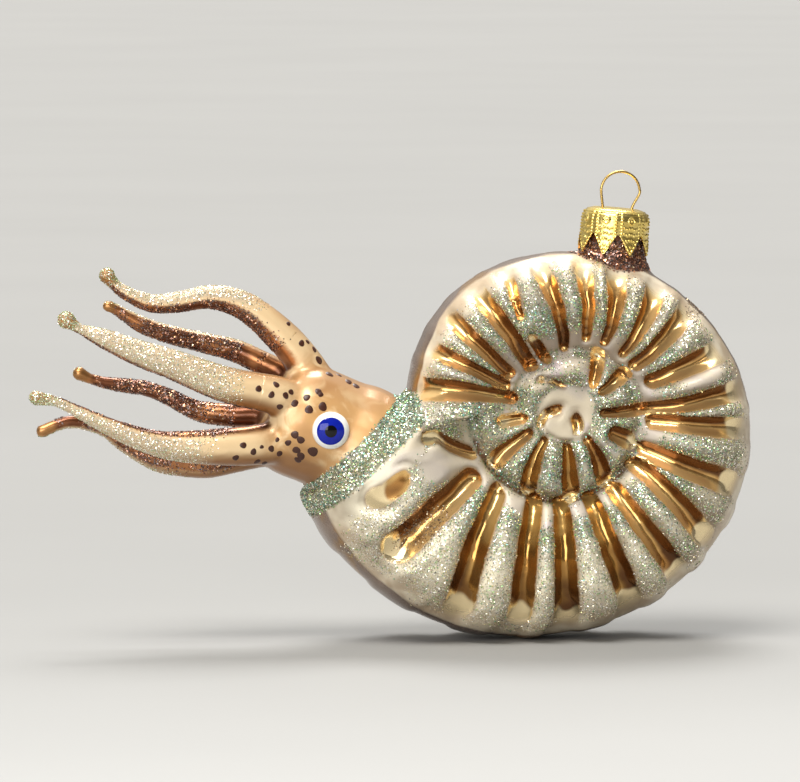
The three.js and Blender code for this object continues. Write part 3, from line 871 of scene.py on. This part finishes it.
# ---------------------------------------------------------------- finishes
class Finish:
    """A procedural finish, built node by node around one Principled shader."""

    def __init__(self, name, roughness=0.4, metallic=0.0):
        self.material = bpy.data.materials.new(name)
        self.material.use_nodes = True
        self.tree = self.material.node_tree
        self.shader = self.tree.nodes["Principled BSDF"]
        self.shader.inputs["Roughness"].default_value = roughness
        self.shader.inputs["Metallic"].default_value = metallic
        self.place = self.tree.nodes.new("ShaderNodeTexCoord").outputs["Object"]
        self.coats = ()     # colour, metallic and roughness so far

    def put(self, socket, value):
        if isinstance(value, bpy.types.NodeSocket):
            self.tree.links.new(value, socket)
        elif isinstance(value, tuple) and len(value) == 3 and socket.type == "RGBA":
            socket.default_value = (*linear(value), 1)
        else:
            socket.default_value = value

    def set(self, name, value):
        self.put(self.shader.inputs[name], value)
        return self

    def attribute(self, name, output="Fac"):
        node = self.tree.nodes.new("ShaderNodeAttribute")
        node.attribute_name = name
        return node.outputs[output]

    def math(self, operation, a, b=0.0):
        node = self.tree.nodes.new("ShaderNodeMath")
        node.operation = operation
        self.put(node.inputs[0], a)
        self.put(node.inputs[1], b)
        return node.outputs[0]

    def noise(self, size_mm, detail=3.0, rough=0.5, warp=0.0):
        node = self.tree.nodes.new("ShaderNodeTexNoise")
        self.put(node.inputs["Vector"], self.place)
        node.inputs["Scale"].default_value = 1 / (size_mm * MM)
        node.inputs["Detail"].default_value = detail
        node.inputs["Roughness"].default_value = rough
        node.inputs["Distortion"].default_value = warp
        return node.outputs["Fac"]

    def step(self, value, low, high):
        """0 below low and 1 above high, or the other way round where low is above high."""
        node = self.tree.nodes.new("ShaderNodeMapRange")
        node.interpolation_type = "SMOOTHSTEP"
        self.put(node.inputs["Value"], value)
        ends = (low, high, 0, 1) if low < high else (high, low, 1, 0)
        for socket, number in zip(("From Min", "From Max", "To Min", "To Max"), ends):
            node.inputs[socket].default_value = number
        return node.outputs["Result"]

    def wobbly(self, value, wobble, amount):
        """A value pushed up and down by a noise, for hand-painted borders."""
        return self.math("ADD", value, self.both(self.math("SUBTRACT", wobble, 0.5), amount))

    def level(self, share, a, b, kind="FLOAT"):
        node = self.tree.nodes.new("ShaderNodeMix")
        node.data_type = kind
        for socket, value in zip(("Factor", "A", "B"), (share, a, b)):
            self.put(node.inputs[socket], value)
        return node.outputs["Result"]

    def blend(self, share, a, b):
        return self.level(share, a, b, "RGBA")

    def both(self, a, b):
        return self.math("MULTIPLY", a, b)

    def lay(self, share, colour, metal=None, rough=None):
        """Lays a coat over the finish so far, where share is 1."""
        under_metal, under_rough = self.coats[1:]
        self.coats = (self.blend(share, self.coats[0], colour),
                      under_metal if metal is None else self.level(share, under_metal, metal),
                      under_rough if rough is None else self.level(share, under_rough, rough))

    def bump(self, height, depth_mm, strength=1.0):
        node = self.tree.nodes.new("ShaderNodeBump")
        node.inputs["Strength"].default_value = strength
        node.inputs["Distance"].default_value = depth_mm * MM
        self.put(node.inputs["Height"], height)
        self.put(self.shader.inputs["Normal"], node.outputs["Normal"])


# Colours as they look under white light; the _SHADE and _LIT colours, OLIVE and TAN_TOP stand for painted
# shade and painted light, and the frost's brown edge is partly painted shade.
GOLD_SHADE, GOLD_DEEP, GOLD, GOLD_PALE = (108, 70, 38), (198, 142, 76), (242, 196, 122), (252, 230, 182)
GOLD_LIT, OLIVE, OLIVE_LIT = (246, 204, 136), (160, 116, 50), (206, 164, 92)
FROST, FROST_WARM, FROST_LILAC = (194, 182, 168), (212, 198, 172), (206, 190, 190)
FROST_PALE, FROST_UNDER = (234, 224, 198), (142, 136, 114)
FROST_EDGE_SHADE, FROST_SHADE = (146, 112, 78), (128, 106, 84)
RIM, RIM_PALE = (198, 176, 146), (228, 214, 188)
KEEL, KEEL_GOLD = (146, 126, 112), (170, 132, 84)
COLLAR_GLUE = (128, 126, 100)
TAN_DEEP, TAN, TAN_PALE = (182, 130, 78), (216, 168, 110), (240, 208, 160)
TAN_SHADE, TAN_TOP, TIP = (148, 102, 58), (178, 134, 86), (170, 122, 72)
LIMB_CREAM, LIMB_PALE = (190, 162, 124), (204, 186, 156)
BROWN_LACQUER, COPPER = (112, 66, 40), (196, 134, 84)


def lacquered_glass(name):
    """Silvered glass with amber lacquer in the grooves, frosted ribs, a cream rim and a tan head."""
    glass = Finish(name)
    rib, coil, ahead, low, outward, along = (
        glass.attribute(mark) for mark in ("rib", "coil", "ahead", "low", "outward", "along"))
    broad, fine, patch = glass.noise(6, 2), glass.noise(0.9, 4, 0.6), glass.noise(14, 3, 0.55, 0.6)
    # leaning: how far each point faces up, wobbled, for the painted shade and painted light below.
    leaning = glass.wobbly(glass.attribute("tilt"), broad, 0.3)
    near_rim = glass.step(glass.wobbly(glass.attribute("share"), broad, 0.1), 0.87, 0.95)

    # Amber lacquer in the grooves, with painted shade on the walls that face down and painted light on the
    # walls that face up.
    bottom = glass.both(glass.step(glass.attribute("valley"), 0.3, 0.95), glass.step(patch, 0.62, 0.4))
    # lit marks the groove walls that face up, where painted light goes.
    lit = glass.step(leaning, 0.16, 0.5)
    faded = glass.step(glass.attribute("fading"), 0.25, 0.8)
    gold = glass.blend(glass.step(broad, 0.32, 0.62), GOLD_DEEP, GOLD)
    gold = glass.blend(bottom, gold, GOLD_DEEP)
    # Painted shade: the grooves round the bottom of the coil turn a darker olive.
    gold = glass.blend(glass.both(low, 0.7), gold, OLIVE)
    # Painted shade: groove walls that face down turn dark brown.
    gold = glass.blend(glass.step(leaning, 0.08, -0.42), gold, GOLD_SHADE)
    # Painted light: groove walls that face up turn pale gold, and pale olive round the bottom of the coil.
    gold = glass.blend(lit, gold, glass.blend(low, GOLD_LIT, OLIVE_LIT))
    gold = glass.blend(faded, gold, GOLD_PALE)

    # Frost on the ribs, with painted shade on their sides and in the seam's crease, and cream towards the
    # rim.
    crest = glass.step(glass.wobbly(rib, broad, 0.3), 0.2, 0.66)
    seam_shade = glass.step(glass.wobbly(glass.attribute("seam_shade"), fine, 0.7), 0.5, 0.9)
    frost = glass.blend(glass.step(patch, 0.4, 0.6), FROST, FROST_WARM)
    frost = glass.blend(glass.step(broad, 0.58, 0.74), frost, FROST_LILAC)
    frost = glass.blend(glass.attribute("glued"), frost, FROST_UNDER)
    frost = glass.blend(glass.attribute("pale"), frost, FROST_PALE)
    # Brown lacquer feathered up the low sides of the ribs, made darker as painted shade that rounds them.
    frost = glass.blend(crest, glass.blend(0.65, frost, FROST_EDGE_SHADE), frost)
    # Painted shade on the rib sides that face down.
    frost = glass.blend(glass.both(glass.step(leaning, 0.0, -0.7), 0.6), frost, FROST_SHADE)
    frost = glass.blend(near_rim, frost, glass.blend(glass.step(broad, 0.4, 0.62), RIM, RIM_PALE))
    # Painted shade in the crease of the seam.
    frost = glass.blend(seam_shade, frost, GOLD_SHADE)
    painted = glass.step(glass.wobbly(rib, fine, 0.4), 0.08, 0.34)
    painted = glass.math("MAXIMUM", painted, glass.both(faded, near_rim))
    glass.coats = (glass.blend(painted, gold, frost),
                   glass.level(painted, glass.level(lit, 0.88, 0.6), glass.level(near_rim, 0.12, 0.25)),
                   glass.level(painted, 0.17, glass.level(near_rim, 0.55, 0.4)))

    # Keel, the collar's glue and the head, with painted shade under the head and tentacles and on their tops
    # against the lamp's highlight.
    keel = glass.both(glass.step(glass.wobbly(glass.attribute("keel"), broad, 0.02), 0, 0.01), coil)
    glass.lay(keel, glass.blend(glass.step(patch, 0.5, 0.62), KEEL, KEEL_GOLD), 0.65, 0.26)
    glass.lay(glass.step(glass.wobbly(ahead, fine, 1.2), *COLLAR_BACK), COLLAR_GLUE, 0.3, 0.55)
    tan = glass.blend(glass.step(patch, 0.3, 0.6), TAN_DEEP, TAN)
    tan = glass.blend(glass.step(glass.noise(5, 3, 0.5, 0.8), 0.5, 0.72), tan, TAN_PALE)
    tan = glass.blend(glass.step(along, 0.06, 0.16), tan, TAN_PALE)
    # Painted shade on the undersides of the head and tentacles.
    tan = glass.blend(glass.step(leaning, -0.1, -0.75), tan, TAN_SHADE)
    # Painted shade on the tops that face up, to hold down the lamp's highlight.
    tan = glass.blend(glass.step(leaning, 0.35, 0.95), tan, TAN_TOP)
    glass.lay(glass.step(glass.wobbly(ahead, fine, 0.8), 0.7, 1.1), tan, 0.25, 0.33)

    # Tentacles: cream on the outer side, brown lacquer on the inner side, and the neck's brown foot.
    side = glass.wobbly(outward, fine, 0.3)
    white = glass.both(glass.step(side, -0.1, 0.25), glass.step(glass.wobbly(along, broad, 0.1), 0.3, 0.45))
    glass.lay(white, glass.blend(broad, LIMB_CREAM, LIMB_PALE), 0.1, 0.5)
    under = glass.both(glass.step(side, 0.0, -0.3), glass.step(along, 0.02, 0.12))
    glass.lay(under, glass.blend(glass.step(broad, 0.45, 0.7), BROWN_LACQUER, COPPER), 0.85)
    glass.lay(glass.step(along, 0.9, 0.95), TIP)
    glass.lay(glass.attribute("foot"), BROWN_LACQUER)

    for socket, value in zip(("Base Color", "Metallic", "Roughness"), glass.coats):
        glass.set(socket, value)
    glass.set("Coat Weight", 0.25).set("Coat Roughness", 0.1)
    speckle = glass.both(glass.noise(0.35, 2, 0.7), glass.both(painted, coil))
    glass.bump(glass.math("ADD", speckle, glass.both(broad, 0.6)), 0.08, 0.6)
    return glass.material


def glitter_grains(name, metallic=0.75, roughness=0.22):
    grains = Finish(name, roughness, metallic)
    pale = grains.both(grains.noise(0.4, 1), 0.25)
    grains.set("Base Color", grains.blend(pale, grains.attribute("tint", "Color"), (255, 255, 255)))
    return grains.material


def brown_enamel():
    enamel = Finish("brown_enamel", 0.35)
    enamel.set("Base Color", enamel.blend(enamel.noise(0.8, 2), (44, 20, 12), (80, 42, 26)))
    return enamel.material


def eye_enamel():
    """White glass with a blue iris and a black pupil, ringed about the eye's own axis."""
    eye = Finish("eye_glass", 0.06)
    node = eye.tree.nodes.new("ShaderNodeSeparateXYZ")
    eye.put(node.inputs[0], eye.place)
    x = eye.math("SUBTRACT", node.outputs["X"], (EYE_X - 0.25) * MM)
    z = eye.math("SUBTRACT", node.outputs["Z"], EYE_Z * MM)
    far = eye.both(eye.math("SQRT", eye.math("ADD", eye.both(x, x), eye.both(z, z))), 1 / MM)
    blue = eye.blend(eye.noise(1.2, 2), (8, 22, 128), (14, 36, 164))
    white = eye.blend(eye.noise(2.5, 2), (232, 232, 230), (246, 245, 240))
    colour = eye.blend(eye.step(far, 2.6, 2.68), blue, white)
    colour = eye.blend(eye.step(far, 1.14, 1.2), (6, 6, 8), colour)
    eye.set("Base Color", colour).set("Specular IOR Level", 0.25)
    eye.set("Coat Weight", 0.2).set("Coat Roughness", 0.02)
    return eye.material


def stamped_brass():
    brass = Finish("stamped_brass", 0.24, 1.0)
    brass.set("Base Color", brass.blend(brass.noise(2.2, 3), (246, 206, 96), (255, 234, 150)))
    brass.set("Roughness", brass.level(brass.noise(0.7, 3), 0.16, 0.34))
    brass.bump(brass.noise(0.3, 2), 0.015, 0.5)
    return brass.material


def drawn_wire():
    wire = Finish("drawn_wire", 0.25, 1.0)
    wire.set("Base Color", wire.blend(wire.noise(1.5, 2), (196, 158, 84), (226, 194, 122)))
    wire.set("Roughness", wire.level(wire.noise(0.6, 2), 0.2, 0.34))
    return wire.material


# ---------------------------------------------------------------- making the ornament
def show(piece, name, material, slot, *nodes, angle=60):
    settle(piece, name, angle)
    piece.data.materials.clear()
    piece.data.materials.append(material)
    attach(piece, "root")
    if nodes:
        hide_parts(*nodes)
    return piece


def sprinkle(name, piece, density, palettes, size, seed, material, slot="shell_glass"):
    show(glitter(name, piece, density, palettes, size, seed), name, material, slot, angle=1)


def mark_limbs(glass):
    """Marks which side and how far along a tentacle each point is, and where the neck's brown foot is."""
    points = points_of(glass)
    mm = points / MM
    owner, share, away = tentacle_shares(points)
    spans = np.array([len(path) - 1 for path in TENTACLES.values()])
    # The far tentacles show more of their inner side.
    inner_side = np.array([0.0, 0.35, 0.0, 0.35, 0.0, 0.45])[owner]
    outward = np.sum(normals_of(glass) * away, axis=1) - inner_side
    give_attribute(glass, "outward", np.where((owner >= 0) & (share > 0.4), outward, 0.0))
    in_front = read_attribute(glass, "ahead") > 6
    give_attribute(glass, "along", np.where(owner >= 0, share / spans[owner], 0.0) * in_front)
    foot = 1 - ease(7.4, 8.6, np.hypot(mm[:, 0] - NECK_FOOT_X, mm[:, 1]))
    give_attribute(glass, "foot", foot * (mm[:, 2] > -18.6))


glass = fused_glass()
mark_coil(glass)
mark_limbs(glass)
tentacles = separate_tentacles(glass)
tree = glass_tree([glass, *tentacles.values()])
show(glass, "shell_and_head", lacquered_glass("silvered_glass"), "shell_glass", "glass_body")
limb_finish = lacquered_glass("tentacle_glass")
for name, piece in tentacles.items():
    show(piece, name + "_glass", limb_finish, "tentacle_glass", name)

enamel, eye_finish = brown_enamel(), eye_enamel()
for name, side in (("freckles_near", -1), ("freckles_far", 1)):
    show(freckle_dots(name, tree, side), name, enamel, "tentacle_glass", angle=40)
for name, side in (("eye_near", -1), ("eye_far", 1)):
    show(eye_dome(side), name + "_dome", eye_finish, "eye_glass", name, angle=50)
show(crown_cap(), "crown_cap", stamped_brass(), "cap_metal", "cap", angle=45)
show(loop_wire(), "loop_wire", drawn_wire(), "wire_metal", "hanger_wire")

# Glitter: the ribs of each face, the collar, the neck's foot and each tentacle.
fine_glitter = glitter_grains("iridescent_glitter")
coarse_glitter = glitter_grains("copper_glitter", 0.9, 0.25)
points = points_of(glass)
mm = points / MM
whole = np.ones(len(mm))
r, angle = coil_polar(points)
share, coil, ahead, glued, pale, foot = (
    read_attribute(glass, mark) for mark in ("share", "coil", "ahead", "glued", "pale", "foot"))
for name, side, seed in (("glitter_near_face", -1, 31), ("glitter_far_face", 1, 32)):
    face = mm[:, 1] * side > 0
    teal = np.clip(0.4 + 0.6 * noise_wave(mm, 8, 23), 0, 1) * (1 - ease(0.66, 0.8, share))
    cream = np.maximum(ease(0.68, 0.82, share), 2.2 * pale)
    sprinkle(name, glass, 17.5 * glued * face,
             [(SILVER, 1.1 - teal * 0.6), (TEAL, 1.0 * teal), (CREAM, 1.2 * cream)],
             (0.2, 0.46), seed, fine_glitter)
patch_spot = np.hypot(r * np.sin(np.radians(angle - 323)), 0.45 * (r - 35.5))
bronze = (1 - ease(2.0, 3.0, patch_spot + 0.5 * noise_wave(mm, 9, 21))) * coil
sprinkle("glitter_bronze", glass, 7.0 * bronze, [(BRONZE, whole)], (0.22, 0.42), 35, fine_glitter)
top = ease(-54, -44, mm[:, 2])
collar = ease(*COLLAR_BACK, ahead) * (1 - ease(0.7, 1.3, ahead))
sprinkle("glitter_collar", glass, 12.0 * collar,
         [(COLLAR, 0.7 + top), (SILVER, 0.5 - 0.4 * top), (CREAM, 0.4 * (1 - top))],
         (0.28, 0.6), 33, fine_glitter)
sprinkle("glitter_neck", glass, 9.0 * foot * (mm[:, 2] < -12.5), [(BROWN, whole)], (0.35, 0.75), 34,
         coarse_glitter)
for number, (name, piece) in enumerate(tentacles.items()):
    out, far = read_attribute(piece, "outward"), read_attribute(piece, "along")
    tip = ease(*TIP_SPAN, far)
    white = ease(0.0, 0.35, out) * ease(0.28, 0.42, far) + 0.6 * tip * (number % 2 == 0)
    sprinkle("glitter_white_" + name, piece, 15.0 * white, [(CREAM, 1.0 - 0.8 * tip), (LIME, 0.22 + tip)],
             (0.2, 0.42), 41 + number, fine_glitter, "tentacle_glass")
    brown = ease(0.05, -0.35, out) * (1 - tip) * ease(-0.8, 0.1, noise_wave(points_of(piece) / MM, 9, 61))
    sprinkle("glitter_brown_" + name, piece, 14.0 * brown, [(BROWN, 1 + 0 * far)],
             (0.28, 0.55), 51 + number, coarse_glitter, "tentacle_glass")


# ---------------------------------------------------------------- floor, light and camera
FLOOR_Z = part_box("glass_body")[0][2] - 0.1 * MM
FLOOR_SIDE = 30.0


def studio():
    """A plain pale floor that runs far out on every side."""
    deselect_all()
    bpy.ops.mesh.primitive_plane_add(size=FLOOR_SIDE, location=(0, 0, FLOOR_Z))
    floor = bpy.context.object
    apply_place(floor)
    floor.name = "floor"
    paper = Finish("pale_floor", 0.7)
    paper.set("Base Color", paper.blend(paper.noise(120, 2), (146, 145, 142), (152, 151, 148)))
    floor.data.materials.append(paper.material)


def lamp(name, kind, energy, direction, colour):
    """A lamp that shines along a direction; returns its object, whose data holds its size."""
    made = link(name, bpy.data.lights.new(name, kind))
    made.data.energy, made.data.color = energy, colour
    made.rotation_euler = Vector(direction).to_track_quat("-Z", "Y").to_euler()
    return made


def soft_light(name, place, target, size, watts, colour=(1, 1, 1), spread=180):
    panel = lamp(name, "AREA", watts, Vector(target) - Vector(place), colour)
    panel.location = place
    panel.data.shape = "RECTANGLE"
    panel.data.size, panel.data.size_y = size
    panel.data.spread = math.radians(spread)


def soft_sun(name, place, strength, width, colour=(1, 1, 1)):
    """Light from a big soft source far off towards a place, as wide as an angle in degrees."""
    lamp(name, "SUN", strength, -Vector(place), colour).data.angle = math.radians(width)


def room():
    """Soft daylight: bright above and behind, dimmer where the viewer stands."""
    world = bpy.data.worlds.new("room")
    bpy.context.scene.world = world
    world.use_nodes = True
    tree = world.node_tree
    towards = tree.nodes.new("ShaderNodeVectorMath")
    towards.operation = "DOT_PRODUCT"
    towards.inputs[1].default_value = (-0.2, 0.45, 0.87)
    ramp = tree.nodes.new("ShaderNodeValToRGB")
    ends = ramp.color_ramp.elements
    ends[1].position = 0.9
    ends[0].color, ends[1].color = (0.16, 0.154, 0.145, 1), (1.0, 0.985, 0.95, 1)
    ends.new(0.5).color = (0.36, 0.352, 0.335, 1)
    background = tree.nodes["Background"]
    background.inputs["Strength"].default_value = 0.8
    place = tree.nodes.new("ShaderNodeTexCoord")
    tree.links.new(place.outputs["Generated"], towards.inputs[0])
    tree.links.new(towards.outputs["Value"], ramp.inputs[0])
    tree.links.new(ramp.outputs[0], background.inputs["Color"])


CENTRE = (-42.8 * MM, 0, -41.6 * MM)
AZIMUTH, ELEVATION, DISTANCE = math.radians(-8), math.radians(4.5), 1.6


def camera():
    back = Vector((math.sin(AZIMUTH) * math.cos(ELEVATION), -math.cos(AZIMUTH) * math.cos(ELEVATION),
                   math.sin(ELEVATION)))
    view = link("camera", bpy.data.cameras.new("camera"))
    view.data.lens, view.data.sensor_width, view.data.clip_end = 375, 36, 100
    view.location = Vector(CENTRE) + back * DISTANCE
    view.rotation_euler = back.to_track_quat("Z", "Y").to_euler()
    bpy.context.scene.camera = view


bpy.context.scene.view_settings.view_transform = "Standard"
studio()
room()
soft_sun("window", (-0.16, -0.2, 0.52), 2.9, 34, (1, 0.98, 0.95))
soft_sun("overhead", (0.06, 0.34, 0.52), 2.3, 26)
soft_light("fill", (-0.35, -0.55, 0.1), CENTRE, (0.45, 0.3), 2.2, (0.98, 0.99, 1))
soft_light("floor", (0, -0.32, 0.4), (0, -0.24, -0.09), (0.5, 0.2), 0.24, spread=60)
camera()
